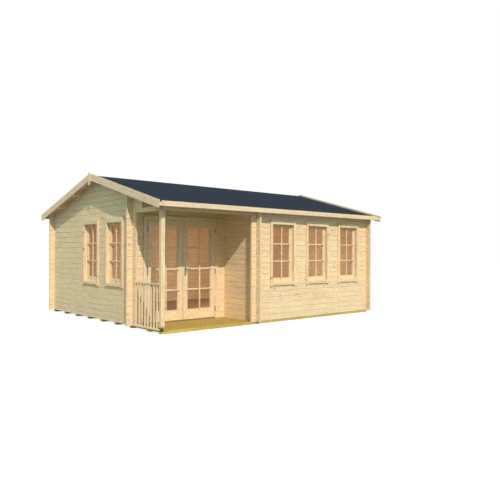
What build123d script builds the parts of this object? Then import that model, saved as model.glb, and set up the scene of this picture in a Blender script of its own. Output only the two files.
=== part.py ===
from build123d import *
import os
from math import cos, radians, sin, tan

# Log garden house with an inset corner porch, in millimetres with +Z up.
# The front looks towards -Y and the porch is at its left. The origin is on the ground, under the
# middle of the house.

# Log walls, crossed at the corners
wall_length = 5720
wall_depth = 4770
log_thickness = 40
log_height = 116
log_bevel = 7
log_end = 115

# Floor and its bearers
bearer_height = 50
bearer_width = 70
bearer_pitch = 610
bearer_setback = 8
back_bearer_count = 8
floor_thickness = 19
deck_thickness = 20

# Porch
porch_width = 2165
porch_depth = 1006
post_side = 75
post_foot_height = 56
post_foot_plate = 6
post_foot_stem = 30
side_beam_height = 75
bracket_reach = 346
rail_width = 45
hand_rail_thickness = 28
bottom_rail_thickness = 28
rail_top_height = 820
baluster_width = 34
baluster_thickness = 22
baluster_count = 7

# Roof
roof_pitch = 15.2
ridge_height = 2960
eaves_overhang = 212
gable_overhang = 208
felt_thickness = 4
roof_board_thickness = 19
purlin_width = 56
purlin_height = 108
lower_purlin_offset = 1640
upper_purlin_offset = 847
barge_width = 138
barge_thickness = 18
barge_rise = 38
barge_reach = 50
eaves_slat_height = 46
eaves_slat_depth = 52
eaves_strip_thickness = 18
eaves_strip_rise = 18
eaves_strip_setback = 65
finial_width = 84
finial_height = 298
finial_thickness = 18
finial_rise = 75
finial_point = 60

# Windows, all of one kind, with their heads a little below the door's
head_clearance = 56
casing_thickness = 30
casing_width = 62
head_casing_drop = 36
lining_thickness = 27
lining_depth = 90
window_width = 730
window_sill_height = 692
casing_tail = 20
sash_setback = 46
sash_thickness = 40
sash_stile_width = 60
sash_rail_width = 78
glass_thickness = 4
front_window_setback = 740
front_window_end_setback = 719
front_window_count = 3
gable_window_setback = 702
gable_window_pitch = 1040
gable_window_count = 2

# Double doors, opening outwards
door_head_clearance = 30
door_corner_gap = 224
door_wall_gap = 189
leaf_thickness = 44
leaf_gap = 5
meeting_gap = 6
door_casing_width = 78
jamb_thickness = 35
threshold_height = 22
leaf_stile_width = 108
leaf_top_rail_width = 121
leaf_bottom_rail_width = 192
hinge_radius = 8
hinge_stand_off = 11
hinge_barrel = 52
hinge_gap = 0.5
hinge_arm = 16
hinge_arm_height = 14
hinge_height_shares = [0.09, 0.49, 0.91]
handle_height = 985
handle_plate_width = 36
handle_plate_height = 184
handle_plate_thickness = 7
handle_lever_rise = 40
handle_lever_length = 112
handle_lever_radius = 9
handle_stand_off = 48

# Faces of the house that the pieces are set out from
x_left = -wall_length / 2
x_right = wall_length / 2
y_front = -wall_depth / 2
y_back = wall_depth / 2
x_porch = x_left + porch_width
y_porch = y_front + porch_depth
wall_base = bearer_height
floor_top = wall_base + floor_thickness
slope = tan(radians(roof_pitch))
lean = cos(radians(roof_pitch))
roof_build = felt_thickness + roof_board_thickness
y_eaves = wall_depth / 2 + eaves_overhang
x_verge = wall_length / 2 + gable_overhang
x_roof_end = x_verge - barge_thickness
front_wall_top = ridge_height - roof_build / lean + slope * y_front
porch_clear_courses = int((front_wall_top - wall_base) / log_height) - 1
beam_base = wall_base + porch_clear_courses * log_height
casing_top = beam_base - head_clearance
door_casing_top = beam_base - door_head_clearance
window_height = casing_top - wall_base - window_sill_height


def block(xs, ys, zs):
    """Rectangular solid between three pairs of limits."""
    pairs = (xs, ys, zs)
    middle = [(low + high) / 2 for low, high in pairs]
    return Pos(*middle) * Box(*[high - low for low, high in pairs])


def prism_x(outline, xs):
    """Outline of (y, z) points drawn out along X."""
    wire = Polyline(*[(xs[0], y, z) for y, z in outline], close=True)
    return Solid.extrude(Face(wire), Vector(xs[1] - xs[0], 0, 0))


def prism_y(outline, ys):
    """Outline of (x, z) points drawn out along Y."""
    wire = Polyline(*[(x, ys[0], z) for x, z in outline], close=True)
    return Solid.extrude(Face(wire), Vector(0, ys[1] - ys[0], 0))


def log_outline(face, zs, first_joint):
    """Section through a wall of stacked logs, with a V groove at each joint on both faces."""
    low, high = zs
    count = int((high - first_joint) / log_height) + 1
    levels = [first_joint + step * log_height for step in range(count)]
    joints = [z for z in levels if low + log_bevel < z < high - log_bevel]
    near = [(face, low)]
    far = [(face + log_thickness, low)]
    for z in joints:
        for offset, depth in ((-log_bevel, 0), (0, log_bevel), (log_bevel, 0)):
            near.append((face + depth, z + offset))
            far.append((face + log_thickness - depth, z + offset))
    near.append((face, high))
    far.append((face + log_thickness, high))
    return near + far[::-1]


def log_wall_x(xs, face, zs):
    """Logs along X, from the face at the lower Y."""
    return prism_x(log_outline(face, zs, wall_base + log_height), xs)


def log_wall_y(face, ys, zs):
    """Logs along Y, half a course out of step so that they lock at the corners."""
    return prism_y(log_outline(face, zs, wall_base + log_height / 2), ys)


def roof_line(y, depth=0):
    """Height of the roof at y, at a depth square to its surface."""
    return ridge_height - depth / lean - slope * abs(y)


def roof_slab(side, depths, y_outer):
    """One slope of a roof layer, from the ridge down to the eaves."""
    top, bottom = depths
    ends = (0, side * y_outer)
    outline = [(y, roof_line(y, top)) for y in ends] + [(y, roof_line(y, bottom)) for y in ends[::-1]]
    return prism_x(outline, (-x_roof_end, x_roof_end))


def under_roof():
    """The space below the roof boards."""
    ends = (-y_eaves, 0, y_eaves)
    outline = [(y, roof_line(y, roof_build)) for y in ends] + [(y_eaves, 0), (-y_eaves, 0)]
    return prism_x(outline, (-x_verge, x_verge))


def write(name, *solids):
    """Writes one node, with its solids as they stand in the house."""
    shape = solids[0] if len(solids) == 1 else Compound(list(solids))
    export_step(shape, f"parts/{name}.step")


os.makedirs("parts", exist_ok=True)
attic = under_roof()


# Purlins: a ridge beam and two on each slope, with their tops cut to the roof
def purlin(y_middle):
    ys = (y_middle - purlin_width / 2, y_middle + purlin_width / 2)
    foot = min(roof_line(y, roof_build) for y in ys) - purlin_height
    return block((-x_roof_end, x_roof_end), ys, (foot, ridge_height)) & attic


offsets = (lower_purlin_offset, upper_purlin_offset)
purlins = [purlin(side * offset) for side in (-1, 1) for offset in offsets]
ridge_purlin = purlin(0)
write("side_purlins", *purlins)
write("ridge_purlin", ridge_purlin)
wall_space = attic - purlins - ridge_purlin


def beneath(wall):
    """A wall cut to the roof and notched around the purlins."""
    return wall & wall_space


# Windows: where each one stands along its wall
def spaced(first, pitch, count):
    return [first + step * pitch for step in range(count)]


front_window_run = x_right - x_porch - front_window_setback - front_window_end_setback
front_window_pitch = front_window_run / (front_window_count - 1)
front_windows = spaced(x_porch + front_window_setback, front_window_pitch, front_window_count)
gable_windows = spaced(y_porch + gable_window_setback, gable_window_pitch, gable_window_count)
casing_overlap = casing_width - lining_thickness
opening_width = window_width - casing_overlap * 2
opening_top = casing_top - casing_overlap
opening_base = casing_top - window_height + casing_overlap


def pier_limits(low, high, centres):
    """The stretches of wall beside and between windows."""
    edges = [low]
    for centre in centres:
        edges += [centre - opening_width / 2, centre + opening_width / 2]
    edges.append(high)
    return list(zip(edges[::2], edges[1::2]))


# Front wall: solid below the windows, piers between them, and logs over their heads
front_run = (x_porch - log_end, x_right + log_end)
write("front_wall",
      log_wall_x(front_run, y_front, (wall_base, opening_base)),
      log_wall_x(front_run, y_front, (opening_top, beam_base)))
write("front_wall_piers",
      *[log_wall_x(run, y_front, (opening_base, opening_top))
        for run in pier_limits(*front_run, front_windows)])
write("front_top_logs",
      beneath(log_wall_x((x_left - log_end, x_right + log_end), y_front, (beam_base, ridge_height))))

# Back wall: plain logs from end to end
back_face = y_back - log_thickness
write("back_wall",
      beneath(log_wall_x((x_left - log_end, x_right + log_end), back_face, (wall_base, ridge_height))))

# Left gable: from the porch back wall to the back wall, with its windows
gable_run = (y_porch + log_thickness, back_face)
write("left_gable",
      log_wall_y(x_left, gable_run, (wall_base, opening_base)),
      beneath(log_wall_y(x_left, gable_run, (opening_top, ridge_height))))
write("left_gable_piers",
      *[log_wall_y(x_left, run, (opening_base, opening_top))
        for run in pier_limits(*gable_run, gable_windows)])

# Right gable: plain, from front wall to back wall
right_face = x_right - log_thickness
write("right_gable",
      beneath(log_wall_y(right_face, (y_front + log_thickness, back_face), (wall_base, ridge_height))))

# Porch side wall, from the front wall back to the porch back wall
write("porch_side_wall",
      beneath(log_wall_y(x_porch, (y_front + log_thickness, y_porch), (wall_base, ridge_height))))

# Porch back wall, split beside and over the doorway
clear_half = (porch_width - door_corner_gap - door_wall_gap) / 2 - door_casing_width
leaf_width = clear_half - leaf_gap - meeting_gap / 2
door_middle = x_left + door_corner_gap + door_casing_width + clear_half
rough_half = clear_half + jamb_thickness
head_base = door_casing_top - door_casing_width
lintel_base = head_base + jamb_thickness
porch_run = (x_left - log_end, x_porch + log_thickness + log_end)
doorway = (door_middle - rough_half, door_middle + rough_half)
back_right = beneath(log_wall_x((doorway[1], porch_run[1]), y_porch, (wall_base, ridge_height)))
write("porch_back_wall_left",
      beneath(log_wall_x((porch_run[0], doorway[0]), y_porch, (wall_base, ridge_height))))
write("porch_back_wall_right", back_right)
write("porch_back_wall_over", beneath(log_wall_x(doorway, y_porch, (lintel_base, ridge_height))))

# Ends of the logs that run past the walls they cross
inner_end = log_wall_y(x_porch, (y_porch + log_thickness, y_porch + log_thickness + log_end),
                       (wall_base, ridge_height)) & attic
porch_corner_end = log_wall_y(x_left, (y_porch - log_end, y_porch), (wall_base, beam_base))
outer_ends = [
    log_wall_y(x_left, (y_back, y_back + log_end), (wall_base, ridge_height)) & attic,
    log_wall_y(right_face, (y_back, y_back + log_end), (wall_base, ridge_height)) & attic,
    log_wall_y(right_face, (y_front - log_end, y_front), (wall_base, ridge_height)) & attic,
    log_wall_y(x_porch, (y_front - log_end, y_front), (wall_base, ridge_height)) & attic,
    log_wall_y(x_left, (y_front - log_end, y_front), (beam_base, ridge_height)) & attic,
]
write("log_ends", inner_end, porch_corner_end, *outer_ends)

# Side beam over the porch rail, and the gable logs that run forward on it to carry a purlin
beam_top = beam_base + side_beam_height
write("porch_side_beam",
      block((x_left, x_left + post_side), (y_front + log_thickness, y_porch), (beam_base, beam_top)))
write("gable_bracket_logs",
      beneath(log_wall_y(x_left, (y_porch - bracket_reach, y_porch), (beam_top, ridge_height))))

# Bearers, let in under the porch deck so that it lies level with their tops
deck_front = y_front + bearer_setback + bearer_width / 2
deck = block((x_left + bearer_setback, x_porch), (deck_front, y_porch + log_thickness),
             (wall_base - deck_thickness, wall_base))
back_bearers = [y_back - bearer_setback - bearer_width - step * bearer_pitch
                for step in range(back_bearer_count)]
bearers = []
for y in [y_front + bearer_setback] + back_bearers:
    bearer = block((x_left + bearer_setback, x_right - bearer_setback), (y, y + bearer_width),
                   (0, bearer_height))
    bearers.append(bearer - deck)
write("floor_bearers", *bearers)
write("porch_deck", deck)

# Room floor, in two rectangles because the porch takes a corner out of the room
write("room_floor_back",
      block((x_left + log_thickness, right_face), (y_porch + log_thickness, back_face),
            (wall_base, floor_top)) - inner_end)
write("room_floor_front",
      block((x_porch + log_thickness, right_face), (y_front + log_thickness, y_porch + log_thickness),
            (wall_base, floor_top)) - back_right)

# Corner post on a steel foot
post_xs = (x_left, x_left + post_side)
post_ys = (y_front, y_front + post_side)
post_base = wall_base + post_foot_height
post_centre = (x_left + post_side / 2, y_front + post_side / 2)
write("porch_post", block(post_xs, post_ys, (post_base, beam_base)))
stem = Pos(*post_centre, wall_base + post_foot_height / 2) * Cylinder(post_foot_stem / 2, post_foot_height)
write("post_foot",
      stem + block(post_xs, post_ys, (wall_base, wall_base + post_foot_plate))
      + block(post_xs, post_ys, (post_base - post_foot_plate, post_base)))

# Balustrade: two rails with balusters let in between them
rail_ys = (y_front + post_side, y_porch - log_end)
rail_xs = (x_left, x_left + rail_width)
rail_top = wall_base + rail_top_height
railing = block(rail_xs, rail_ys, (wall_base, wall_base + bottom_rail_thickness))
railing += block(rail_xs, rail_ys, (rail_top - hand_rail_thickness, rail_top))
baluster_pitch = (rail_ys[1] - rail_ys[0]) / (baluster_count + 1)
baluster_x = x_left + rail_width / 2
for step in range(baluster_count):
    y = rail_ys[0] + baluster_pitch * (step + 1)
    railing += block((baluster_x - baluster_thickness / 2, baluster_x + baluster_thickness / 2),
                     (y - baluster_width / 2, y + baluster_width / 2),
                     (wall_base + bottom_rail_thickness, rail_top - hand_rail_thickness))
write("porch_railing", railing)

# Roof: boards and felt on each slope
board_end = y_eaves - eaves_strip_thickness
write("roof_boards_front", roof_slab(-1, (felt_thickness, roof_build), board_end))
write("roof_boards_back", roof_slab(1, (felt_thickness, roof_build), board_end))
write("roof_felt_front", roof_slab(-1, (0, felt_thickness), board_end))
write("roof_felt_back", roof_slab(1, (0, felt_thickness), board_end))


# Eaves: a slat under the ends of the roof boards, and a strip nailed on the ends to hold the felt's edge
strip_foot = roof_line(board_end, roof_build)


def eaves_slat(side):
    inner = y_eaves - eaves_slat_depth
    foot = strip_foot - eaves_slat_height
    outline = [(side * y_eaves, foot), (side * y_eaves, strip_foot), (side * board_end, strip_foot),
               (side * inner, roof_line(inner, roof_build)), (side * inner, foot)]
    return prism_x(outline, (-x_roof_end, x_roof_end))


def eaves_strip(side):
    reach = x_roof_end - eaves_strip_setback
    return block((-reach, reach), sorted((side * board_end, side * y_eaves)),
                 (strip_foot, roof_line(board_end) + eaves_strip_rise))


write("eaves_slats", eaves_slat(-1), eaves_slat(1))
write("eaves_strips", eaves_strip(-1), eaves_strip(1))


# Barge boards over the ends of the roof, cut square a little past the eaves and plumb at the ridge
def barge(side, end):
    tip_y = y_eaves + barge_reach
    tip_z = roof_line(tip_y, -barge_rise)
    heel_y = tip_y - barge_width * sin(radians(roof_pitch))
    heel_z = tip_z - barge_width * lean
    outline = [(0, roof_line(0, -barge_rise)), (side * tip_y, tip_z),
               (side * heel_y, heel_z), (0, roof_line(0, barge_width - barge_rise))]
    return prism_x(outline, sorted((end * x_roof_end, end * x_verge)))


write("barge_boards_front", barge(-1, -1), barge(-1, 1))
write("barge_boards_back", barge(1, -1), barge(1, 1))


# Finials: a pointed lath over the joint of each pair of barge boards
def finial(end):
    top = ridge_height + finial_rise
    foot = top - finial_height
    half = finial_width / 2
    outline = [(0, top), (half, top - finial_point), (half, foot + finial_point), (0, foot),
               (-half, foot + finial_point), (-half, top - finial_point)]
    return prism_x(outline, sorted((end * x_verge, end * (x_verge + finial_thickness))))


write("finials", finial(-1), finial(1))


# Windows: placed by distance along the wall, depth in from its outer face, and height
def on_front(along, depth, zs):
    return block(along, [y_front + d for d in depth], zs)


def on_gable(along, depth, zs):
    return block([x_left + d for d in depth], along, zs)


def both_sides(outer, inner):
    """Limits of a pair of pieces, mirrored about a middle line."""
    return ((-outer, -inner), (inner, outer))


proud = (-casing_thickness, 0)
casing_half = window_width / 2
opening_half = opening_width / 2
sash_half = opening_half - lining_thickness
sash_base = opening_base + lining_thickness
sash_top = opening_top - lining_thickness
glass_half = sash_half - sash_stile_width
glass_zs = (sash_base + sash_rail_width, sash_top - sash_rail_width)
sash_depth = (sash_setback, sash_setback + sash_thickness)
glass_depth = [sash_setback + (sash_thickness + side * glass_thickness) / 2 for side in (-1, 1)]
jambs = []
heads_and_sills = []
stiles = []
rails = []
panes = []
frames = [(on_front, centre) for centre in front_windows] + [(on_gable, centre) for centre in gable_windows]
for place, centre in frames:
    for low, high in both_sides(opening_half, sash_half):
        lining = place((centre + low, centre + high), (0, lining_depth), (opening_base, opening_top))
        outer = centre + (casing_half if low > 0 else -casing_half)
        inner = centre + (sash_half if low > 0 else -sash_half)
        jambs.append(lining + place(sorted((outer, inner)), proud,
                                    (casing_top - window_height - casing_tail, casing_top)))
    across = (centre - sash_half, centre + sash_half)
    sill = place(across, (0, lining_depth), (opening_base, sash_base))
    heads_and_sills.append(sill + place(across, proud, (casing_top - window_height, sash_base)))
    head = place(across, (0, lining_depth), (sash_top, opening_top))
    heads_and_sills.append(head + place(across, proud, (sash_top - head_casing_drop, casing_top)))
    for low, high in both_sides(sash_half, glass_half):
        stiles.append(place((centre + low, centre + high), sash_depth, (sash_base, sash_top)))
    span = (centre - glass_half, centre + glass_half)
    rails.append(place(span, sash_depth, (sash_base, glass_zs[0])))
    rails.append(place(span, sash_depth, (glass_zs[1], sash_top)))
    panes.append(place(span, glass_depth, glass_zs))
write("window_jambs", *jambs)
write("window_heads_and_sills", *heads_and_sills)
write("window_sash_stiles", *stiles)
write("window_sash_rails", *rails)
write("window_panes", *panes)

# Doorway: lining, threshold and casings
door_face = y_porch - casing_thickness
clear = (door_middle - clear_half, door_middle + clear_half)
lining_ys = (y_porch, y_porch + log_thickness)
casing_ys = (door_face, y_porch)
write("door_jambs",
      block((doorway[0], clear[0]), lining_ys, (wall_base, head_base)),
      block((clear[1], doorway[1]), lining_ys, (wall_base, head_base)))
write("door_head", block(doorway, lining_ys, (head_base, lintel_base)))
write("door_threshold", block(clear, (door_face, lining_ys[1]), (wall_base, wall_base + threshold_height)))
write("door_side_casings",
      block((clear[0] - door_casing_width, clear[0]), casing_ys, (wall_base, head_base)),
      block((clear[1], clear[1] + door_casing_width), casing_ys, (wall_base, head_base)))
write("door_head_casing",
      block((clear[0] - door_casing_width, clear[1] + door_casing_width), casing_ys,
            (head_base, door_casing_top)))

# Door leaves: stiles, rails and a long pane in each, level with the casing
leaf_zs = (wall_base + threshold_height + leaf_gap, head_base - leaf_gap)
pane_zs = (leaf_zs[0] + leaf_bottom_rail_width, leaf_zs[1] - leaf_top_rail_width)
leaf_ys = (door_face, door_face + leaf_thickness)
pane_ys = [door_face + (leaf_thickness + side * glass_thickness) / 2 for side in (-1, 1)]
hinge_y = door_face - hinge_stand_off
arm_ys = (hinge_y, door_face)
frame_hinges = []
for name, side in (("left", -1), ("right", 1)):
    hinge_edge = door_middle + side * (meeting_gap / 2 + leaf_width)
    meeting_edge = door_middle + side * meeting_gap / 2
    hinge_stile = sorted((hinge_edge, hinge_edge - side * leaf_stile_width))
    meeting_stile = sorted((meeting_edge, meeting_edge + side * leaf_stile_width))
    span = sorted((hinge_edge - side * leaf_stile_width, meeting_edge + side * leaf_stile_width))
    write(f"{name}_leaf_stiles", block(hinge_stile, leaf_ys, leaf_zs), block(meeting_stile, leaf_ys, leaf_zs))
    write(f"{name}_leaf_rails",
          block(span, leaf_ys, (leaf_zs[0], pane_zs[0])), block(span, leaf_ys, (pane_zs[1], leaf_zs[1])))
    write(f"{name}_leaf_glass", block(span, pane_ys, pane_zs))

    # Lift-off hinges: a barrel on the leaf above a barrel on the casing
    hinge_x = hinge_edge + side * leaf_gap / 2
    leaf_hinges = []
    for share in hinge_height_shares:
        z = leaf_zs[0] + share * (leaf_zs[1] - leaf_zs[0])
        for rise, towards, solids in ((1, -side, leaf_hinges), (-1, side, frame_hinges)):
            middle = z + rise * (hinge_barrel + hinge_gap) / 2
            barrel = Pos(hinge_x, hinge_y, middle) * Cylinder(hinge_radius, hinge_barrel)
            arm = block(sorted((hinge_x, hinge_x + towards * hinge_arm)), arm_ys,
                        (middle - hinge_arm_height / 2, middle + hinge_arm_height / 2))
            solids.append(barrel + arm)
    write(f"{name}_leaf_hinges", *leaf_hinges)
write("frame_hinges", *frame_hinges)

# Lever handle on each face of the right leaf
handle_x = door_middle + meeting_gap / 2 + leaf_stile_width / 2
lever_z = handle_height + wall_base + handle_lever_rise
plate_zs = [handle_height + wall_base + side * handle_plate_height / 2 for side in (-1, 1)]
handles = []
for face, out in ((leaf_ys[0], -1), (leaf_ys[1], 1)):
    plate = block((handle_x - handle_plate_width / 2, handle_x + handle_plate_width / 2),
                  sorted((face, face + out * handle_plate_thickness)), plate_zs)
    lever_y = face + out * handle_stand_off
    neck_place = Pos(handle_x, (face + lever_y) / 2, lever_z)
    neck = neck_place * Rot(X=90) * Cylinder(handle_lever_radius, handle_stand_off)
    grip_x = handle_x + handle_lever_length / 2 - handle_lever_radius
    grip = Pos(grip_x, lever_y, lever_z) * Rot(Y=90) * Cylinder(handle_lever_radius, handle_lever_length)
    handles.append(plate + neck + grip)
write("door_handles", *handles)
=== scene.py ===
from math import cos, pi, radians, sin, tan

import bmesh
import bpy
from mathutils import Matrix, Vector


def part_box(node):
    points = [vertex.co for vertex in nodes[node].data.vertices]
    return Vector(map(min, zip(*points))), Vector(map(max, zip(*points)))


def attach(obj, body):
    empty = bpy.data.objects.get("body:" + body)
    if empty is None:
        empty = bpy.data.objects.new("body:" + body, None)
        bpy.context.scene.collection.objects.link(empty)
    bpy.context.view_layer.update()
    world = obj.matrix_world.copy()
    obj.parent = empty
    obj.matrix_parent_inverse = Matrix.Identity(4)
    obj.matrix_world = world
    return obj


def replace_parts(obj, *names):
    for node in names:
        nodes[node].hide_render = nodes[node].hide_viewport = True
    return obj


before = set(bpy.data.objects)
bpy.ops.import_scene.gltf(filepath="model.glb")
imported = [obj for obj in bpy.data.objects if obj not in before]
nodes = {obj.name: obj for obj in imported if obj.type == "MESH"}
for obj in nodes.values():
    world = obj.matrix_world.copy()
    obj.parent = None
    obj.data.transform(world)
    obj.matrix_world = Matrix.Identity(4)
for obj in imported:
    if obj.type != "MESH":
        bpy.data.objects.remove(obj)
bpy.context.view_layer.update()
scene = bpy.context.scene

# Floor bearers: rough-sawn battens of pressure-treated pine, laid on the ground along the house.
# Their ends show under the gable, and their sides under the front wall.
bearer_colours = ((0.72, 0.46, 0.1), (0.44, 0.28, 0.06), (0.2, 0.11, 0.03))
bearer_roughness = 0.75
bearer_relief = 0.0003
bearer_arris = 0.003
timber_relief = 0.0012
knot_height_share = 0.4


class Socket:
    """An output of a node tree. An operator on it adds a Math node to that tree."""

    def __init__(self, tree, end):
        self.tree = tree
        self.end = end

    def output(self, out):
        return Socket(self.tree, self.end.node.outputs[out])

    def math(self, operation, first, second=0.0):
        return self.tree.node("ShaderNodeMath", {"operation": operation}, {0: first, 1: second})

    def __add__(self, other):
        return self.math("ADD", self, other)

    def __radd__(self, other):
        return self.math("ADD", other, self)

    def __sub__(self, other):
        return self.math("SUBTRACT", self, other)

    def __rsub__(self, other):
        return self.math("SUBTRACT", other, self)

    def __mul__(self, other):
        return self.math("MULTIPLY", self, other)

    def __rmul__(self, other):
        return self.math("MULTIPLY", other, self)

    def __truediv__(self, other):
        return self.math("DIVIDE", self, other)

    def __gt__(self, other):
        return self.math("GREATER_THAN", self, other)

    def __abs__(self):
        return self.math("ABSOLUTE", self)

    def floor(self):
        return self.math("FLOOR", self)

    def ripple(self):
        """A sine wave that runs from 0 to 1."""
        return self.math("SINE", self) * 0.5 + 0.5


class Tree:
    """The nodes of a finish, of the sky or of a modifier. One method makes every node."""

    def __init__(self, group):
        self.group = group

    def feed(self, socket, value):
        """Links a value to a socket, or writes it there."""
        if isinstance(value, Socket):
            self.group.links.new(value.end, socket)
        else:
            socket.default_value = value

    def node(self, kind, settings=(), inputs=(), out=0):
        """A new node with its settings and its inputs. Returns one of its outputs."""
        node = self.group.nodes.new(kind)
        for key, value in dict(settings).items():
            setattr(node, key, value)
        for key, value in dict(inputs).items():
            self.feed(node.inputs[key], value)
        return Socket(self, node.outputs[out]) if node.outputs else None

    def vector(self, x, y, z):
        return self.node("ShaderNodeCombineXYZ", {}, {0: x, 1: y, 2: z})

    def axes(self, vector):
        x = self.node("ShaderNodeSeparateXYZ", {}, {0: vector})
        return x, x.output(1), x.output(2)

    def noise(self, vector, scale, detail):
        return self.node("ShaderNodeTexNoise", {}, {"Vector": vector, "Scale": scale, "Detail": detail})

    def ramp(self, value, low, high):
        """Value mapped smoothly from low..high to 0..1."""
        return self.node("ShaderNodeMapRange", {"interpolation_type": "SMOOTHSTEP"},
                         {0: value, 1: low, 2: high})

    def mix(self, share, first, second):
        """Two colours mixed. A plain colour is three numbers."""
        colours = [c if isinstance(c, Socket) else (*c, 1) for c in (first, second)]
        return self.node("ShaderNodeMix", {"data_type": "RGBA"},
                         {0: share, 6: colours[0], 7: colours[1]}, out=2)


class Finish(Tree):
    """A material with one shader, whose sockets are set by `shade`."""

    def __init__(self, name):
        self.material = bpy.data.materials.new(name)
        self.material.use_nodes = True
        super().__init__(self.material.node_tree)
        self.shader = self.group.nodes["Principled BSDF"]

    def place(self):
        """Where a point lies in the house."""
        return self.node("ShaderNodeTexCoord", out=3)

    def shade(self, **sockets):
        for name, value in sockets.items():
            self.feed(self.shader.inputs[name.replace("_", " ")], value)
        return self.material

    def bump(self, height, depth):
        return self.node("ShaderNodeBump", {}, {"Strength": 1.0, "Distance": depth, "Height": height})


def timber(finish, along, across, through, board, colours):
    """The figure of sawn softwood, from a point's place in its board and the board's own number.
    Returns its colour, its fibres, its knots and its streaks."""
    pale, dark, knot_colour = colours
    board_shift = (31.0, 7.0, 3.0)
    ring_bend = 34.0
    rings_across = 900.0
    figure_starts = 0.63
    figure_full = 1.02
    hue_spread = 0.005
    saturation_spread = 0.08
    value_least = 0.95
    value_spread = 0.07
    knots_along = 2.6
    knots_across = 5.2
    knot_shift = (57.0, 13.0)
    knot_least = 0.035
    knot_spread = 0.055
    knotless_share = 0.58
    knot_edge, knot_core, knot_share = 1.0, 0.45, 0.75
    halo_edge, halo_core, halo_share = 3.2, 0.8, 0.3

    def pattern(run, cross, detail):
        """Noise drawn out along the grain, with another part of it on each board."""
        place = finish.vector(along * run + board * board_shift[0], across * cross + board * board_shift[1],
                              through * cross + board * board_shift[2])
        return finish.noise(place, scale=1.0, detail=detail)

    rings = (pattern(run=0.9, cross=5.0, detail=2.0) * ring_bend + across * rings_across).ripple()
    fibre = pattern(run=6.0, cross=240.0, detail=3.0)
    streak = pattern(run=2.5, cross=42.0, detail=3.0)
    fleck = pattern(run=12.0, cross=55.0, detail=2.0)
    speck = pattern(run=27.0, cross=95.0, detail=2.0)
    figure = rings * 0.1 + fibre * 0.15 + streak * 0.4 + fleck * 0.4 + speck * 0.6
    colour = finish.mix(finish.ramp(figure, figure_starts, figure_full), pale, dark)
    tone = finish.node("ShaderNodeHueSaturation", {},
                       {"Hue": 0.5 - hue_spread / 2 + board * hue_spread,
                        "Saturation": 1 - saturation_spread / 2 + board * saturation_spread,
                        "Value": value_least + board * value_spread, "Color": colour})
    knot_place = finish.vector(along * knots_along + board * knot_shift[0],
                               across * knots_across + board * knot_shift[1], 0.0)
    cell = finish.node("ShaderNodeTexVoronoi", {"voronoi_dimensions": "2D"},
                       {"Vector": knot_place, "Scale": 1.0})
    pick = finish.axes(cell.output(1))
    reach = cell / (pick[0] * knot_spread + knot_least)
    grown_here = pick[1] > knotless_share
    knot = finish.ramp(reach, knot_edge, knot_core) * grown_here
    halo = finish.ramp(reach, halo_edge, halo_core) * grown_here
    tone = finish.mix(halo * halo_share, tone, dark)
    return finish.mix(knot * knot_share, tone, knot_colour), fibre, knot, streak


def carried_grain(finish):
    """Where a point lies along, across and through its own board, and the board's own number."""
    grain = finish.node("ShaderNodeAttribute", {"attribute_name": "grain"}, out=1)
    board = finish.node("ShaderNodeAttribute", {"attribute_name": "board"}, out=2)
    return (*finish.axes(grain), board)


def sawn_finish(name, colours, roughness, relief=timber_relief):
    """Timber whose grain follows each board."""
    roughness_spread = 0.24
    finish = Finish(name)
    colour, fibre, knot, streak = timber(finish, *carried_grain(finish), colours)
    return finish.shade(Base_Color=colour,
                        Roughness=roughness - roughness_spread / 2 + fibre * roughness_spread,
                        Normal=finish.bump(fibre + knot * knot_height_share, relief),
                        Specular_IOR_Level=0.35)


def islands(solid):
    """The separate solids in a mesh, as sets of points with their lowest and highest corners."""
    waiting = set(solid.verts)
    while waiting:
        first = min(waiting, key=lambda v: v.index)
        group = {first}
        front = [first]
        while front:
            vert = front.pop()
            found = {edge.other_vert(vert) for edge in vert.link_edges} - group
            group |= found
            front += found
        waiting -= group
        yield (group, Vector([min(v.co[i] for v in group) for i in range(3)]),
               Vector([max(v.co[i] for v in group) for i in range(3)]))


def merged(node):
    """A copy of a CAD node's mesh with its triangles joined into flat faces."""
    weld = 1e-5
    flat = radians(0.5)
    solid = bmesh.new()
    solid.from_mesh(nodes[node].data)
    bmesh.ops.remove_doubles(solid, verts=solid.verts, dist=weld)
    bmesh.ops.dissolve_limit(solid, angle_limit=flat, verts=solid.verts, edges=solid.edges)
    return solid


def ease(solid, edges, size, steps=2, clamp=False):
    """Rounds edges of a shape off in a few steps."""
    bmesh.ops.bevel(solid, geom=edges, offset=size, segments=steps, profile=0.5, affect="EDGES",
                    clamp_overlap=clamp)


def made(name, solid, finish):
    """A shape as a piece of its own, with its finish."""
    mesh = bpy.data.meshes.new(name)
    solid.to_mesh(mesh)
    solid.free()
    mesh.materials.append(finish)
    piece = bpy.data.objects.new(name, mesh)
    scene.collection.objects.link(piece)
    return piece


def fitted(piece, slot, *replaced, body="house"):
    """Fixes a piece to its body and says which CAD nodes it stands for."""
    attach(piece, body)
    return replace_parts(piece, *replaced) if replaced else piece


def joinery(name, solid, arris, finish, body, slot, slope=None):
    """Timber with its arrises taken off. Each solid in it carries its own grain, which runs along its
    longest side, or up the slope that is given."""
    sharp = radians(25)
    number_step = 0.381966
    name_step = 0.17
    edges = [edge for edge in solid.edges if edge.is_convex and edge.calc_face_angle(0) > sharp]
    ease(solid, edges, arris, clamp=True)
    solid.verts.layers.float_vector.new("grain")
    solid.verts.layers.float.new("board")
    grain = solid.verts.layers.float_vector["grain"]
    number = solid.verts.layers.float["board"]
    solid.verts.index_update()
    for count, (group, low, high) in enumerate(islands(solid)):
        order = sorted(range(3), key=lambda i: low[i] - high[i])
        for vert in group:
            offset = vert.co - low
            vert[grain] = [offset[i] for i in order]
            if slope:
                vert[grain] = (offset.y * cos(slope) + offset.z * sin(slope),
                               offset.z * cos(slope) - offset.y * sin(slope), offset.x)
            vert[number] = (count * number_step + len(name) * name_step) % 1
    return fitted(made(name, solid, finish), slot, body=body)


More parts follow.
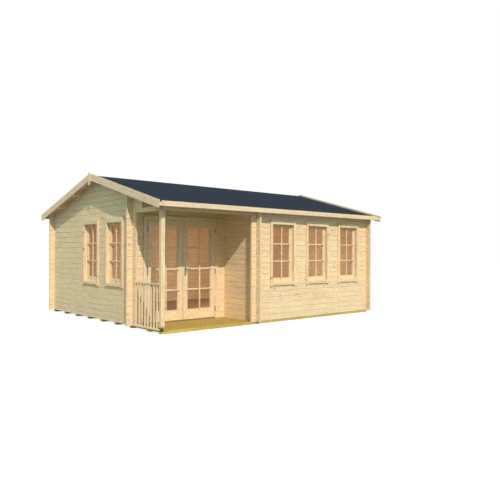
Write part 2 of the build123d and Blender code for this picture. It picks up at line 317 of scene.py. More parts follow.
def planed(node, arris, finish, body="house", slot="planed_spruce", slope=None):
    """A CAD node as finished timber, which then stands for it."""
    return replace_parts(joinery(f"{node}_timber", merged(node), arris, finish, body, slot, slope), node)


treated_timber = sawn_finish("treated_timber", bearer_colours, bearer_roughness, bearer_relief)
planed("floor_bearers", bearer_arris, treated_timber, slot="treated_timber")

# Porch deck: treated boards laid across the bearers with a gap between them, each ribbed along its
# length against slipping, and level with the bearers' tops. Two screws hold each board to each bearer.
deck_low, deck_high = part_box("porch_deck")
deck_board_gap = 0.005
deck_board_count = 19
deck_arris = 0.003
deck_seed = 3
rib_pitch = 0.0085
rib_depth = 0.0015
rib_shade_colour = (0.22, 0.15, 0.04)
rib_shade_share = 0.4
treated_colours = ((0.68, 0.45, 0.11), (0.4, 0.265, 0.062), (0.2, 0.11, 0.03))


class Growth(Tree):
    """A tree of a modifier, with named inputs for its sizes. `end` makes what it grew real."""

    def __init__(self, name, **inputs):
        super().__init__(bpy.data.node_groups.new(name, "GeometryNodeTree"))
        for label, kind in inputs.items():
            self.group.interface.new_socket(label, in_out="INPUT", socket_type=f"NodeSocket{kind}")
        self.group.interface.new_socket("Grown", in_out="OUTPUT", socket_type="NodeSocketGeometry")
        first = self.node("NodeGroupInput")
        self.inputs = [first.output(i) for i in range(len(inputs))]

    def end(self, shape, finish):
        real = self.node("GeometryNodeRealizeInstances", {}, {"Geometry": shape})
        real = self.node("GeometryNodeSetMaterial", {}, {"Geometry": real, "Material": finish})
        self.node("NodeGroupOutput", {}, {0: real})
        return self.group


def board_tree():
    """Boards side by side: one board with rounded arrises, set out along a line and made real."""
    tree = Growth("boards", Length="Float", Width="Float", Thickness="Float", Arris="Float", Pitch="Float",
                  Count="Int", Seed="Int", Finish="Material")
    length, width, thickness, arris, pitch, count, seed, finish = tree.inputs
    section = tree.node("GeometryNodeCurvePrimitiveQuadrilateral", {"mode": "RECTANGLE"},
                        {"Width": width, "Height": thickness})
    section = tree.node("GeometryNodeFilletCurve", {"mode": "POLY"},
                        {"Curve": section, "Count": 1, "Radius": arris, "Limit Radius": True})
    line = tree.node("GeometryNodeCurvePrimitiveLine", {"mode": "POINTS"},
                     {"End": tree.vector(length, 0.0, 0.0)})
    line = tree.node("GeometryNodeSetCurveNormal", {"mode": "Z_UP"}, {"Curve": line})
    board = tree.node("GeometryNodeCurveToMesh", {},
                      {"Curve": line, "Profile Curve": section, "Fill Caps": True})
    board = tree.node("GeometryNodeStoreNamedAttribute", {"data_type": "FLOAT_VECTOR", "domain": "POINT"},
                      {"Geometry": board, "Name": "grain", "Value": tree.node("GeometryNodeInputPosition")})
    places = tree.node("GeometryNodeMeshLine", {"mode": "OFFSET", "count_mode": "TOTAL"},
                       {"Count": count, "Offset": tree.vector(0.0, pitch, 0.0)})
    rows = tree.node("GeometryNodeInstanceOnPoints", {}, {"Points": places, "Instance": board})
    draw = tree.node("FunctionNodeRandomValue", {"data_type": "FLOAT"},
                     {2: 0.0, 3: 1.0, "Seed": seed}, out=1)
    rows = tree.node("GeometryNodeStoreNamedAttribute", {"data_type": "FLOAT", "domain": "INSTANCE"},
                     {"Geometry": rows, "Name": "board", "Value": draw})
    return tree.end(rows, finish)


def grown(name, tree, sizes, mesh=None):
    """What a tree makes from these sizes, kept as a plain mesh."""
    piece = bpy.data.objects.new(name, mesh or bpy.data.meshes.new(name))
    scene.collection.objects.link(piece)
    modifier = piece.modifiers.new(name, "NODES")
    modifier.node_group = tree
    for item in tree.interface.items_tree:
        if item.in_out == "INPUT" and item.name in sizes:
            modifier[item.identifier] = sizes[item.name]
    depsgraph = bpy.context.evaluated_depsgraph_get()
    plain = bpy.data.meshes.new_from_object(
        piece.evaluated_get(depsgraph), preserve_all_data_layers=True, depsgraph=depsgraph)
    piece.modifiers.clear()
    piece.data = plain
    plain.name = name
    return piece


boards = board_tree()


def boarding(name, origin, along, across, count, width, gap, thickness, arris, seed, finish):
    """Boards laid from a corner: they run along one way and stand side by side the other way.
    The origin is at the start of the first board, at its outer edge and half its thickness."""
    sizes = {"Length": along.length, "Width": width, "Thickness": thickness, "Arris": arris,
             "Pitch": width + gap, "Count": count, "Seed": seed, "Finish": finish}
    piece = grown(name, boards, sizes)
    run = along.normalized()
    side = across.normalized()
    turn = Matrix((run, side, run.cross(side))).transposed().to_4x4()
    piece.data.transform(Matrix.Translation(origin + side * (width / 2)) @ turn)
    return piece


def ribbed_finish():
    """Treated timber with ribs planed along its boards."""
    finish = Finish("ribbed_treated_timber")
    along, across, through, board = carried_grain(finish)
    colour, fibre, knot, streak = timber(finish, along, across, through, board, treated_colours)
    rib = (across * (2 * pi / rib_pitch)).ripple()
    colour = finish.mix((1 - rib) * rib_shade_share, colour, rib_shade_colour)
    return finish.shade(Base_Color=colour, Roughness=0.65 + fibre * 0.2,
                        Normal=finish.bump(rib + fibre * 0.3, rib_depth), Specular_IOR_Level=0.3)


deck_thickness = deck_high.z - deck_low.z
deck_width = (deck_high.x - deck_low.x + deck_board_gap) / deck_board_count - deck_board_gap
fitted(boarding("porch_deck_boards",
                Vector((deck_high.x, deck_low.y, deck_low.z + deck_thickness / 2)),
                Vector((0, deck_high.y - deck_low.y, 0)), Vector((-1, 0, 0)), deck_board_count, deck_width,
                deck_board_gap, deck_thickness, deck_arris, deck_seed, ribbed_finish()),
       "treated_timber", "porch_deck")


def metal_finish(name, colour, roughness, speckle):
    """Worn metal, a little cloudy."""
    cloud_relief = 0.0003
    cloud_shade_share = 0.6
    roughness_spread = 0.2
    finish = Finish(name)
    cloud = finish.noise(finish.place(), speckle, detail=3.0)
    shade = finish.mix(cloud, colour, [c * cloud_shade_share for c in colour])
    return finish.shade(Base_Color=shade, Metallic=0.85,
                        Roughness=roughness - roughness_spread / 2 + cloud * roughness_spread,
                        Normal=finish.bump(cloud, cloud_relief))


def fixing_tree():
    """Low round heads of nails or screws, one on each point of a mesh, turned to face out of the wood."""
    top_share = 0.65
    tree = Growth("fixing_heads", Places="Geometry", Radius="Float", Height="Float", Finish="Material")
    places, radius, height, finish = tree.inputs
    head = tree.node("GeometryNodeMeshCone", {"fill_type": "NGON"},
                     {"Vertices": 10, "Radius Top": radius * top_share, "Radius Bottom": radius,
                      "Depth": height})
    facing = tree.node("GeometryNodeInputNamedAttribute", {"data_type": "FLOAT_VECTOR"}, {"Name": "facing"})
    turn = tree.node("FunctionNodeAlignRotationToVector", {"axis": "Z"}, {"Vector": facing})
    heads = tree.node("GeometryNodeInstanceOnPoints", {},
                      {"Points": places, "Instance": head, "Rotation": turn})
    return tree.end(heads, finish)


fixing_heads = fixing_tree()
nail_steel = metal_finish("nail_steel", (0.42, 0.43, 0.42), roughness=0.45, speckle=200.0)


def fixings(name, places, radius, height, finish=nail_steel, body="house"):
    """Heads of nails or screws at pairs of a point and the way that its surface faces."""
    mesh = bpy.data.meshes.new(name)
    mesh.from_pydata([point for point, facing in places], [], [])
    ways = mesh.attributes.new("facing", "FLOAT_VECTOR", "POINT")
    for way, (point, facing) in zip(ways.data, places):
        way.vector = facing
    sizes = {"Radius": radius, "Height": height, "Finish": finish}
    return fitted(grown(name, fixing_heads, sizes, mesh), "hinge_steel", body=body)


deck_screw_radius = 0.0045
deck_screw_height = 0.001
deck_screw_shares = (-0.25, 0.25)
deck_screws = []
for group, low, high in islands(merged("floor_bearers")):
    y = (low.y + high.y) / 2
    if deck_low.y < y < deck_high.y and low.x < deck_high.x:
        for board in range(deck_board_count):
            x = deck_low.x + deck_width / 2 + board * (deck_width + deck_board_gap)
            for share in deck_screw_shares:
                deck_screws.append((Vector((x + share * deck_width, y, deck_high.z)), Vector((0, 0, 1))))
fixings("deck_screws", deck_screws, deck_screw_radius, deck_screw_height)

# Log walls: planed spruce logs, tongued into each other with a chamfer at each joint, and crossed at
# the corners, where their ends run past. The logs of one wall lie half a course above the other's.
log_height = 0.116
wall_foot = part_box("back_wall")[0].z
spruce_colours = ((0.93, 0.745, 0.465), (0.69, 0.505, 0.27), (0.4, 0.2, 0.07))
end_ring_colour = (0.62, 0.4, 0.17)
# Painted shade: a dark line along each joint between logs, where the chamfered groove lies in shade.
log_joint_painted_shade_colour = (0.36, 0.27, 0.13)


def log_finish(name, run, first_joint):
    """Logs along one axis of the house, drawn from where a point lies in the wall, with painted shade along
    each joint.
    """
    walls_per_metre = 2.5
    end_slant = 0.7
    ring_curve = 20.0
    rings_through = 260.0
    ring_shift = 9.0
    end_ring_share = 0.35
    joint_shade_starts = 0.462
    joint_shade_full = 0.492
    joint_shade_least_share = 0.15
    joint_shade_streak_share = 0.5
    finish = Finish(name)
    place = finish.place()
    spot = finish.axes(place)
    facing = finish.axes(place.output(1))
    through = spot[1 - run]
    rise = (spot[2] - first_joint) / log_height
    course = rise.floor()
    key = finish.vector(course, (through * walls_per_metre + 0.5).floor(), float(run))
    board = finish.node("ShaderNodeTexWhiteNoise", {"noise_dimensions": "3D"}, {"Vector": key})
    height = rise - course
    colour, fibre, knot, streak = timber(finish, spot[run], height * log_height, through, board,
                                         spruce_colours)
    end = abs(facing[run]) > end_slant
    ring = (height * height * ring_curve + through * rings_through + board * ring_shift).ripple() * end
    colour = finish.mix(ring * end_ring_share, colour, end_ring_colour)
    # Painted shade along each joint between two logs, stronger in streaks, mixed into the colour.
    joint = finish.ramp(abs(height - 0.5), joint_shade_starts, joint_shade_full)
    joint_shade_share = joint * (joint_shade_least_share + joint_shade_streak_share * streak)
    colour = finish.mix(joint_shade_share, colour, log_joint_painted_shade_colour)
    return finish.shade(Base_Color=colour, Roughness=0.5 + fibre * 0.25,
                        Normal=finish.bump(fibre + knot * knot_height_share, timber_relief),
                        Specular_IOR_Level=0.3)


def dress(material, *names):
    """Gives CAD nodes that keep their own shape their finish."""
    for name in names:
        nodes[name].data.materials.clear()
        nodes[name].data.materials.append(material)


dress(log_finish("logs_along_the_front", 0, wall_foot),
      "front_wall", "front_wall_piers", "front_top_logs", "back_wall",
      "porch_back_wall_left", "porch_back_wall_right", "porch_back_wall_over")
dress(log_finish("logs_along_the_gable", 1, wall_foot + log_height / 2),
      "left_gable", "left_gable_piers", "right_gable", "porch_side_wall", "log_ends", "gable_bracket_logs")

# Room floor: tongued spruce boards nailed to the bearers, with a fine chamfer at each joint,
# coloured a dark brown that paints the shade lying on the floor inside the room.
floor_painted_shade_colours = ((0.34, 0.22, 0.13), (0.225, 0.138, 0.075), (0.11, 0.056, 0.026))
painted_shade_floor_timber = sawn_finish("oiled_floor_boards", floor_painted_shade_colours, roughness=0.5)
floor_board_width = 0.0935
floor_arris = 0.0015
for floor, seed in (("room_floor_back", 11), ("room_floor_front", 12)):
    low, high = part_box(floor)
    count = round((high.x - low.x) / floor_board_width)
    fitted(boarding(f"{floor}_boards", Vector((high.x, low.y, (low.z + high.z) / 2)),
                    Vector((0, high.y - low.y, 0)), Vector((-1, 0, 0)), count, (high.x - low.x) / count, 0.0,
                    high.z - low.z, floor_arris, seed, painted_shade_floor_timber),
           "planed_spruce", floor)

# Porch post and side beam: planed square timber. The post stands on a galvanised foot with a stem
# that can be wound up or down by its nut, and the beam joins it to the gable over the rail.
joinery_colours = ((0.905, 0.725, 0.452), (0.67, 0.49, 0.262), (0.4, 0.2, 0.07))
spruce = sawn_finish("planed_spruce", joinery_colours, roughness=0.6)
post_arris = 0.004
planed("porch_post", post_arris, spruce)
planed("porch_side_beam", post_arris, spruce)
galvanised = metal_finish("galvanised_steel", (0.1, 0.125, 0.12), roughness=0.5, speckle=120.0)
dress(galvanised, "post_foot")
foot_low, foot_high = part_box("post_foot")
nut_across = 0.046
nut_height = 0.016
nut_sides = 6
nut_arris = 0.0015


def turn_bar(solid, radius, depth, sides, place):
    """Adds a round or many-sided bar to a shape, upright before it is placed."""
    bmesh.ops.create_cone(solid, cap_ends=True, segments=sides, radius1=radius, radius2=radius, depth=depth,
                          matrix=place)


nut = bmesh.new()
turn_bar(nut, nut_across / 2, nut_height, nut_sides, Matrix.Translation((foot_low + foot_high) / 2))
ease(nut, nut.edges[:], nut_arris)
fitted(made("post_foot_nut", nut, galvanised), "foot_metal")

# Balustrade: planed spruce balusters let in upright between a bottom rail and a hand rail, which
# run from the post to the corner of the gable.
rail_low, rail_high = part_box("porch_railing")
rail_thickness = 0.028
rail_arris = 0.004
baluster_width = 0.034
baluster_thickness = 0.022
baluster_count = 7
baluster_arris = 0.0025
baluster_seed = 31


def saw_block(solid, size, place):
    """Adds a block to a shape, with its middle at its place."""
    bmesh.ops.create_cube(solid, size=1, matrix=place @ Matrix.Diagonal((*size, 1)))


def battens(name, boxes, arris, body="house"):
    """Small timbers between pairs of corners, as one piece."""
    solid = bmesh.new()
    for low, high in boxes:
        saw_block(solid, high - low, Matrix.Translation((low + high) / 2))
    return joinery(name, solid, arris, spruce, body, "planed_spruce")


battens("porch_rails", [(rail_low, Vector((rail_high.x, rail_high.y, rail_low.z + rail_thickness))),
                        (Vector((rail_low.x, rail_low.y, rail_high.z - rail_thickness)), rail_high)],
        rail_arris)
baluster_pitch = (rail_high.y - rail_low.y) / (baluster_count + 1)
baluster_start = Vector(((rail_low.x + rail_high.x) / 2, rail_low.y + baluster_pitch - baluster_width / 2,
                         rail_low.z + rail_thickness))
baluster_height = rail_high.z - rail_low.z - rail_thickness * 2
fitted(boarding("porch_balusters", baluster_start, Vector((0, 0, baluster_height)), Vector((0, 1, 0)),
                baluster_count, baluster_width, baluster_pitch - baluster_width, baluster_thickness,
                baluster_arris, baluster_seed, spruce),
       "planed_spruce", "porch_railing")

# Purlins: planed spruce beams from gable to gable that carry the roof boards. They lie in notches in
# the gables, and their ends show under the verge.
purlin_arris = 0.003
planed("side_purlins", purlin_arris, spruce)
planed("ridge_purlin", purlin_arris, spruce)

# Roof boards: tongued spruce boards nailed to the purlins down the slope, and chamfered at their
# joints on the face that shows below.
roof_pitch = radians(15.2)
roof_board_width = 0.0953
roof_board_thickness = 0.019
roof_board_arris = 0.0035
felt_thickness = 0.004
roof_low, roof_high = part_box("roof_felt_front")
ridge = roof_high.z
board_start = (felt_thickness + roof_board_thickness) * tan(roof_pitch)
board_end = (-roof_low.y + felt_thickness * sin(roof_pitch)) / cos(roof_pitch)
roof_board_count = round((roof_high.x - roof_low.x) / roof_board_width)
for side, name, seed in ((-1, "front", 21), (1, "back", 22)):
    down = Vector((0, side * cos(roof_pitch), -sin(roof_pitch)))
    outwards = Vector((0, side * sin(roof_pitch), cos(roof_pitch)))
    corner = Vector((side * roof_high.x, 0, ridge)) + down * board_start
    fitted(boarding(f"roof_boards_{name}_laid",
                    corner - outwards * (felt_thickness + roof_board_thickness / 2),
                    down * (board_end - board_start), Vector((-side, 0, 0)), roof_board_count,
                    (roof_high.x - roof_low.x) / roof_board_count, 0.0, roof_board_thickness,
                    roof_board_arris, seed, spruce),
           "planed_spruce", f"roof_boards_{name}")

# Roofing felt: bitumen sheets with fine slate granules, rolled out along the roof from the eaves up,
# each lapped over the one below and nailed along its lower edge, with a folded strip over the ridge.
felt_sheet = 0.0019
felt_lap = 0.09
felt_rows = 3
ridge_strip = 0.16
granules_per_metre = 900.0
granule_relief = 0.0008
felt_dark_colour = (0.009, 0.0155, 0.027)
felt_granule_colour = (0.022, 0.031, 0.046)
felt_cloud_colour = (0.01, 0.0155, 0.026)
felt_cloud_share = 0.3
clout_pitch = 0.15
clout_edge = 0.03
clout_radius = 0.005
clout_height = 0.001


def felt_finish():
    """Dark felt, speckled by its granules and a little cloudy."""
    finish = Finish("slate_felt")
    place = finish.place()
    granules = finish.noise(place, granules_per_metre, detail=1.0)
    cloud = finish.noise(place, scale=1.3, detail=3.0)
    colour = finish.mix(granules, felt_dark_colour, felt_granule_colour)
    colour = finish.mix(cloud * felt_cloud_share, colour, felt_cloud_colour)
    return finish.shade(Base_Color=colour, Roughness=0.86 + granules * 0.1,
                        Normal=finish.bump(granules, granule_relief), Specular_IOR_Level=0.06)


slate_felt = felt_finish()


def drawn_out(name, outlines, low_x, high_x, finish):
    """Outlines of (y, z) points drawn out along the house, as one mesh."""
    solid = bmesh.new()
    for outline in outlines:
        ends = [[solid.verts.new((x, y, z)) for y, z in outline] for x in (low_x, high_x)]
        solid.faces.new(ends[0])
        solid.faces.new(ends[1][::-1])
        for i in range(len(outline)):
            solid.faces.new((ends[0][i - 1], ends[1][i - 1], ends[1][i], ends[0][i]))
    bmesh.ops.recalc_face_normals(solid, faces=solid.faces)
    return made(name, solid, finish)


def on_slope(side, run, lift):
    """A point of the roof's section: how far down the slope, and how far above the roof boards."""
    rise = lift - felt_thickness
    return (side * (run * cos(roof_pitch) + rise * sin(roof_pitch)),
            ridge - run * sin(roof_pitch) + rise * cos(roof_pitch))


felt_run = (board_end + felt_lap * (felt_rows - 1)) / felt_rows
felt_step = felt_run - felt_lap
for side, name in ((-1, "front"), (1, "back")):
    sheets = []
    for row in range(felt_rows):
        top = row * felt_step
        foot = top + felt_run
        lift = 0 if row == felt_rows - 1 else felt_sheet
        sheets.append([on_slope(side, top, 0), on_slope(side, foot, lift),
                       on_slope(side, foot, lift + felt_sheet), on_slope(side, top, felt_sheet)])
    fitted(drawn_out(f"roof_felt_{name}_sheets", sheets, roof_low.x, roof_high.x, slate_felt),
           "roof_felt", f"roof_felt_{name}")
fold = [on_slope(-1, ridge_strip, felt_sheet), (0, ridge - felt_thickness + felt_sheet),
        on_slope(1, ridge_strip, felt_sheet), on_slope(1, ridge_strip, felt_sheet * 2),
        (0, ridge - felt_thickness + felt_sheet * 2), on_slope(-1, ridge_strip, felt_sheet * 2)]
fitted(drawn_out("roof_felt_ridge_strip", [fold], roof_low.x, roof_high.x, slate_felt), "roof_felt")
clout_count = int((roof_high.x - roof_low.x - clout_edge * 2) / clout_pitch)
clout_runs = [ridge_strip - clout_edge]
clout_runs += [felt_run + row * felt_step - clout_edge for row in range(felt_rows - 1)]
clouts = []
for side in (-1, 1):
    facing = Vector((0, side * sin(roof_pitch), cos(roof_pitch)))
    for run in clout_runs:
        for step in range(clout_count + 1):
            x = roof_low.x + clout_edge + step * clout_pitch
            clouts.append((Vector((x, *on_slope(side, run, felt_sheet * 2))), facing))
clout_steel = metal_finish("clout_steel", (0.1, 0.11, 0.12), roughness=0.5, speckle=200.0)
fixings("felt_nails", clouts, clout_radius, clout_height, clout_steel)

# Eaves and verges: planed spruce slats and strips along the eaves, barge boards over the ends of the
# roof, and a pointed lath nailed over each pair's joint at the ridge.
eaves_arris = 0.002
barge_arris = 0.003
finial_arris = 0.0025
planed("eaves_slats", eaves_arris, spruce)
planed("eaves_strips", eaves_arris, spruce)
planed("barge_boards_front", barge_arris, spruce, slope=roof_pitch)
planed("barge_boards_back", barge_arris, spruce, slope=-roof_pitch)
planed("finials", finial_arris, spruce)
gable_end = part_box("barge_boards_front")[1].x
strip_low, strip_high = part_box("eaves_strips")
barge_nail_places = (0.16, 0.86, 1.64, 2.4)
barge_nail_spread = 0.034
barge_middle = 0.0321
eaves_nail_count = 11
trim_nail_radius = 0.004
trim_nail_height = 0.001
roof_nails = []
for end in (-1, 1):
    for side in (-1, 1):
        for y in barge_nail_places:
            for spread in (-barge_nail_spread, barge_nail_spread):
                z = ridge - barge_middle - y * tan(roof_pitch) + spread
                roof_nails.append((Vector((end * gable_end, side * y, z)), Vector((end, 0, 0))))
eaves_nail_z = (strip_low.z + strip_high.z) / 2
for side in (-1, 1):
    for step in range(eaves_nail_count):
        x = strip_low.x + (strip_high.x - strip_low.x) * (step + 0.5) / eaves_nail_count
        roof_nails.append((Vector((x, side * strip_high.y, eaves_nail_z)), Vector((0, side, 0))))
fixings("roof_trim_nails", roof_nails, trim_nail_radius, trim_nail_height)

# Windows: fixed sashes of planed spruce between a lining and a casing, each with a pane held by beads
# and a cross of thin bars fixed on the outer face of the sash. The casings are nailed.
window_arris = 0.003
for node in ("window_jambs", "window_heads_and_sills", "window_sash_stiles", "window_sash_rails"):
    planed(node, window_arris, spruce)
window_rows = 3
window_bar_width = 0.023
bar_thickness = 0.018
bar_lap = 0.03
bar_arris = 0.002
bead = 0.011
bead_arris = 0.003
sash_face = 0.018
glass_colours = ((0.3, 0.16, 0.11), (0.36, 0.2, 0.14))
glass_haze_share = 0.1
casing_nail_shares = (0.05, 0.35, 0.65, 0.95)
casing_nail_radius = 0.003
casing_nail_height = 0.0008


def glass_finish():
    """Clear glass with a faint warm haze."""
    finish = Finish("clear_glass")
    haze = finish.noise(finish.place(), scale=2.5, detail=2.0)
    colour = finish.mix(haze, *glass_colours)
    return finish.shade(Base_Color=colour, Roughness=0.06 + haze * 0.05, Alpha=glass_haze_share,
                        Specular_IOR_Level=0.5)


dress(glass_finish(), "window_panes", "left_leaf_glass", "right_leaf_glass")


def pane_axis(low, high):
    """The axis along which a pane lies: 0 in the front walls, and 1 in the gable."""
    return 0 if high.x - low.x > high.y - low.y else 1


def box_at(across, limits, depth, heights):
    """Corners of a timber, from its limits across the pane, through the wall and in height."""
    low = Vector((0, 0, heights[0]))
    high = Vector((0, 0, heights[1]))
    low[across], high[across] = limits
    low[1 - across], high[1 - across] = depth
    return low, high


def bars(low, high, setback, rows, width):
    """A cross of bars on the outer face of a sash: one upright and the cross bars between rows of panes."""
    across = pane_axis(low, high)
    face = low[1 - across] - setback
    depth = (face - bar_thickness, face)
    middle = (low[across] + high[across]) / 2
    left, right = middle - width / 2, middle + width / 2
    found = [box_at(across, (left, right), depth, (low.z - bar_lap, high.z + bar_lap))]
    for row in range(1, rows):
        z = low.z + (high.z - low.z) * row / rows
        for limits in ((low[across] - bar_lap, left), (right, high[across] + bar_lap)):
            found.append(box_at(across, limits, depth, (z - width / 2, z + width / 2)))
    return found


def beads(low, high):
    """Slips round a pane that hold it in its rebate, on both its faces."""
    across = pane_axis(low, high)
    found = []
    for depth in ((low[1 - across] - bead, low[1 - across]), (high[1 - across], high[1 - across] + bead)):
        for edge in ((low[across], low[across] + bead), (high[across] - bead, high[across])):
            found.append(box_at(across, edge, depth, (low.z, high.z)))
        inside = (low[across] + bead, high[across] - bead)
        for heights in ((low.z, low.z + bead), (high.z - bead, high.z)):
            found.append(box_at(across, inside, depth, heights))
    return found


window_bars = []
window_beads = []
for group, low, high in islands(merged("window_panes")):
    window_bars += bars(low, high, sash_face, window_rows, window_bar_width)
    window_beads += beads(low, high)
battens("window_bars", window_bars, bar_arris)
battens("window_beads", window_beads, bead_arris)


def casing_nails(node, shares, upright=True):
    """Nails up the middle of each casing of a node, or along it, on its outer face."""
    found = []
    for group, low, high in islands(merged(node)):
        face = 1 if (high.x - low.x < high.y - low.y) == upright else 0
        run = 2 if upright else 1 - face
        facing = Vector((0, 0, 0))
        facing[face] = -1
        for share in shares:
            point = (low + high) / 2
            point[face] = low[face]
            point[run] = low[run] + (high[run] - low[run]) * share
            found.append((point, facing))
    return found


fixings("window_casing_nails", casing_nails("window_jambs", casing_nail_shares), casing_nail_radius,
        casing_nail_height)

# Double doors: framed leaves of planed spruce hung on lift-off hinges in a lining with casings, with
# a long pane in each leaf, the same beads and bars, and a threshold in the dark floor finish, as painted
# shade under the leaves.
door_arris = 0.003
door_casing_arris = 0.008
door_rows = 4
door_bar_width = 0.028
leaf_face = 0.02
side_casing_nail_shares = (0.05, 0.28, 0.5, 0.72, 0.95)
head_casing_nail_shares = (0.1, 0.37, 0.63, 0.9)
for node in ("door_jambs", "door_head"):
    planed(node, door_arris, spruce)
# The threshold's dark floor finish is painted shade: it stands for the shadow line under the leaves.
planed("door_threshold", door_arris, painted_shade_floor_timber)
for node in ("door_side_casings", "door_head_casing"):
    planed(node, door_casing_arris, spruce)
fixings("door_casing_nails", casing_nails("door_side_casings", side_casing_nail_shares)
        + casing_nails("door_head_casing", head_casing_nail_shares, upright=False),
        casing_nail_radius, casing_nail_height)
for body in ("left_leaf", "right_leaf"):
    planed(f"{body}_stiles", door_arris, spruce, body)
    planed(f"{body}_rails", door_arris, spruce, body)
    low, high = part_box(f"{body}_glass")
    battens(f"{body}_bars", bars(low, high, leaf_face, door_rows, door_bar_width), bar_arris, body)
    battens(f"{body}_beads", beads(low, high), bead_arris, body)
hinge_steel = metal_finish("hinge_steel", (0.3, 0.33, 0.37), roughness=0.42, speckle=150.0)
dress(hinge_steel, "left_leaf_hinges", "right_leaf_hinges", "frame_hinges")

# Lever handle: a long plate with eased edges on each face of the right leaf, screwed at both ends, with
# a round lever that turns in a collar of near-black metal, and a keyhole below it, drawn as a dark disc of
# painted shade.
handle_low, handle_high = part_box("door_handles")
leaf_low, leaf_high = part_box("right_leaf_stiles")
plate_width = 0.036
plate_thickness = 0.007
plate_corner = 0.014
plate_arris = 0.0015
lever_radius = 0.009
lever_rise = 0.04
lever_elbow = 0.02
lever_tip_share = 0.5
collar_radius = 0.015
collar_depth = 0.006
collar_sides = 24
keyhole_drop = 0.035
keyhole_radius = 0.0045
keyhole_depth = 0.001
keyhole_sides = 16
keyhole_slot_share = 3
keyhole_slot_drop_share = 1.6
handle_screw_radius = 0.004
handle_screw_height = 0.0012
sharp_rim = radians(60)
handle_x = handle_low.x + plate_width / 2
handle_z = (handle_low.z + handle_high.z) / 2
lever_z = handle_z + lever_rise
square_on = Matrix.Rotation(radians(90), 4, "X")


def rod_tree():
    """A round bar along a path, with its corners rounded and its ends closed."""
    tree = Growth("round_bars", Path="Geometry", Radius="Float", Elbow="Float", Finish="Material")
    path, radius, elbow, finish = tree.inputs
    line = tree.node("GeometryNodeMeshToCurve", {}, {"Mesh": path})
    line = tree.node("GeometryNodeFilletCurve", {"mode": "POLY"},
                     {"Curve": line, "Count": 8, "Radius": elbow, "Limit Radius": True})
    ring = tree.node("GeometryNodeCurvePrimitiveCircle", {"mode": "RADIUS"},
                     {"Resolution": 20, "Radius": radius})
    bar = tree.node("GeometryNodeCurveToMesh", {}, {"Curve": line, "Profile Curve": ring, "Fill Caps": True})
    return tree.end(bar, finish)


def smoothed(piece):
    """Shades a piece smoothly, apart from its sharp edges."""
    crease = radians(40)
    for face in piece.data.polygons:
        face.use_smooth = True
    piece.data.set_sharp_from_angle(angle=crease)
    return piece


plates = bmesh.new()
keyholes = bmesh.new()
lever_points = []
lever_edges = []
handle_screws = []
for face, out, grip in ((leaf_low.y, -1, handle_low.y), (leaf_high.y, 1, handle_high.y)):
    plate_y = face + out * plate_thickness
    plate_size = (plate_width, plate_thickness, handle_high.z - handle_low.z)
    saw_block(plates, plate_size, Matrix.Translation((handle_x, (face + plate_y) / 2, handle_z)))
    collar = Matrix.Translation((handle_x, plate_y + out * collar_depth / 2, lever_z))
    turn_bar(keyholes, collar_radius, collar_depth, collar_sides, collar @ square_on)
    hole = Matrix.Translation((handle_x, plate_y, handle_z - keyhole_drop))
    turn_bar(keyholes, keyhole_radius, keyhole_depth, keyhole_sides, hole @ square_on)
    slot_size = (keyhole_radius, keyhole_depth, keyhole_radius * keyhole_slot_share)
    slot_drop = Matrix.Translation((0, 0, -keyhole_radius * keyhole_slot_drop_share))
    saw_block(keyholes, slot_size, hole @ slot_drop)
    lever_y = grip - out * lever_radius
    start = len(lever_points)
    lever_points += [(handle_x, face, lever_z), (handle_x, lever_y, lever_z),
                     (handle_high.x, lever_y, lever_z)]
    lever_edges += [(start, start + 1), (start + 1, start + 2)]
    for z in (handle_low.z + plate_corner, handle_high.z - plate_corner):
        handle_screws.append((Vector((handle_x, plate_y, z)), Vector((0, out, 0))))
corners = [edge for edge in plates.edges
           if abs(edge.verts[0].co.y - edge.verts[1].co.y) > plate_thickness / 2]
ease(plates, corners, plate_corner, steps=6)
ease(plates, [edge for edge in plates.edges if edge.calc_face_angle(0) > sharp_rim], plate_arris)
plate_metal = metal_finish("handle_plate_metal", (0.27, 0.44, 0.5), roughness=0.34, speckle=90.0)
lever_metal = metal_finish("handle_lever_metal", (0.44, 0.53, 0.56), roughness=0.26, speckle=90.0)
# The keyholes are thin dark discs of painted shade for the holes; the collars share this near-black metal.
keyhole_shade_and_collar_metal = metal_finish("keyhole_shadow", (0.02, 0.022, 0.024), roughness=0.6, speckle=90.0)
fitted(smoothed(made("door_handle_plates", plates, plate_metal)), "handle_metal", "door_handles",
       body="right_leaf")
fitted(smoothed(made("door_keyholes_and_collars", keyholes, keyhole_shade_and_collar_metal)), "handle_metal",
       body="right_leaf")
lever_path = bpy.data.meshes.new("lever_path")
lever_path.from_pydata(lever_points, lever_edges, [])
levers = grown("door_handle_levers", rod_tree(),
               {"Radius": lever_radius, "Elbow": lever_elbow, "Finish": lever_metal}, lever_path)
lever_solid = bmesh.new()
lever_solid.from_mesh(levers.data)
tips = [edge for edge in lever_solid.edges if edge.calc_face_angle(0) > sharp_rim]
ease(lever_solid, tips, lever_radius * lever_tip_share, steps=4)
lever_solid.to_mesh(levers.data)
lever_solid.free()
fitted(smoothed(levers), "handle_metal", body="right_leaf")
fixings("door_handle_screws", handle_screws, handle_screw_radius, handle_screw_height, body="right_leaf")

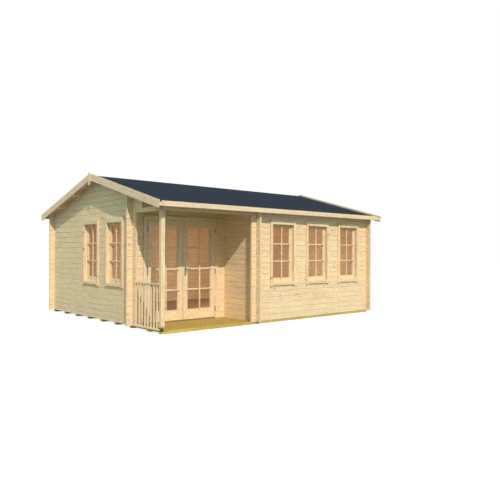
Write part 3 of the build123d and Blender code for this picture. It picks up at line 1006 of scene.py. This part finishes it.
# Studio: a plain pale floor that keeps the shadow, white behind it, a low ambient light and one lamp
# from the front left, as in the picture. Three soft lamps in the room stand in for daylight from all
# round, and the camera stands where the picture was taken from.
floor_reach = 60.0
floor_grey = (0.22, 0.22, 0.22, 1)
floor_glow = 0.84
ambient = (0.495, 0.71, 0.73)
white = (1, 1, 1)
black = (0, 0, 0)
floor_mesh = bpy.data.meshes.new("studio_floor")
floor_mesh.from_pydata([(x, y, 0) for x, y in ((-1, -1), (1, -1), (1, 1), (-1, 1))], [], [(0, 1, 2, 3)])
floor_mesh.transform(Matrix.Diagonal((floor_reach, floor_reach, 1, 1)))
floor = bpy.data.objects.new("studio_floor", floor_mesh)
scene.collection.objects.link(floor)


def seen_directly(tree):
    """1 for a ray from the camera, a reflection or a pane, and 0 for light that falls on things."""
    path = tree.node("ShaderNodeLightPath")
    seen = path.math("MAXIMUM", path, path.output(3))
    return path.math("MAXIMUM", seen, path.output(6))


floor_finish = Finish("studio_floor")
floor_finish.shade(Base_Color=floor_grey, Roughness=0.9, Specular_IOR_Level=0.0,
                   Emission_Color=floor_finish.mix(seen_directly(floor_finish), black, white),
                   Emission_Strength=floor_glow)
floor_mesh.materials.append(floor_finish.material)

world = bpy.data.worlds.new("studio")
scene.world = world
world.use_nodes = True
sky = Tree(world.node_tree)
sky.feed(world.node_tree.nodes["Background"].inputs["Color"], sky.mix(seen_directly(sky), ambient, white))

towards_sun = Vector((-1.06, -2.54, 2.285))
sun = bpy.data.lights.new("sun", "SUN")
sun.energy = 3.28
sun.angle = radians(0.25)
sun.color = (1.0, 0.88, 0.845)
sun_place = bpy.data.objects.new("sun", sun)
sun_place.rotation_euler = towards_sun.to_track_quat("Z", "Y").to_euler()
scene.collection.objects.link(sun_place)

room_lamps = (((0.6, 0.4, 0.9), 42.0), ((1.75, -1.3, 1.0), 17.5), ((-1.4, 0.95, 0.9), 15.5))
for place, energy in room_lamps:
    room_lamp = bpy.data.lights.new("room_lamp", "POINT")
    room_lamp.energy = energy
    room_lamp.shadow_soft_size = 0.4
    room_lamp.color = (1.0, 0.87, 0.8)
    room_lamp_place = bpy.data.objects.new("room_lamp", room_lamp)
    room_lamp_place.location = place
    scene.collection.objects.link(room_lamp_place)

camera = bpy.data.cameras.new("camera")
camera.lens = 39.38
camera_place = bpy.data.objects.new("camera", camera)
camera_place.location = (-7.858, -10.446, 1.422)
camera_place.rotation_euler = (radians(90.2), radians(-0.2), radians(-41))
scene.collection.objects.link(camera_place)
scene.camera = camera_place
scene.view_settings.view_transform = "Standard"
